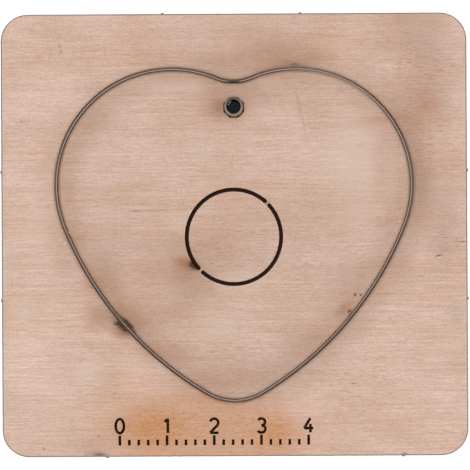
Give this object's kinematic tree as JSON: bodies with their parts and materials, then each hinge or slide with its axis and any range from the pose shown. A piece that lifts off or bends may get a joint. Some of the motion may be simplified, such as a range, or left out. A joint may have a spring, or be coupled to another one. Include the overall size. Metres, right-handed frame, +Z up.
{
  "type": "steel rule die",
  "caption": "Flat plywood cutting die: a bent steel rule with a ground edge stands in an interrupted slot to cut a heart from sheet, with a tube punch for its hanging hole.",
  "frame": {"origin": "middle of the board's underside", "axes": "+Z up, the way the cutting edges point; +Y from the heart's tip to its lobes; +X to the right, along the board's longer side"},
  "size_m": [0.0992, 0.0944, 0.0238],
  "materials": {
    "plywood": "sanded, laser-cut edges scorched brown",
    "rule_steel": "dull blued strip with a ground edge",
    "punch_steel": "dull, with a ground outer cone"
  },
  "bodies": {
    "root": {"die_board": "plywood", "cutting_rule": "rule_steel", "hole_punch": "punch_steel"}
  },
  "joints": []
}
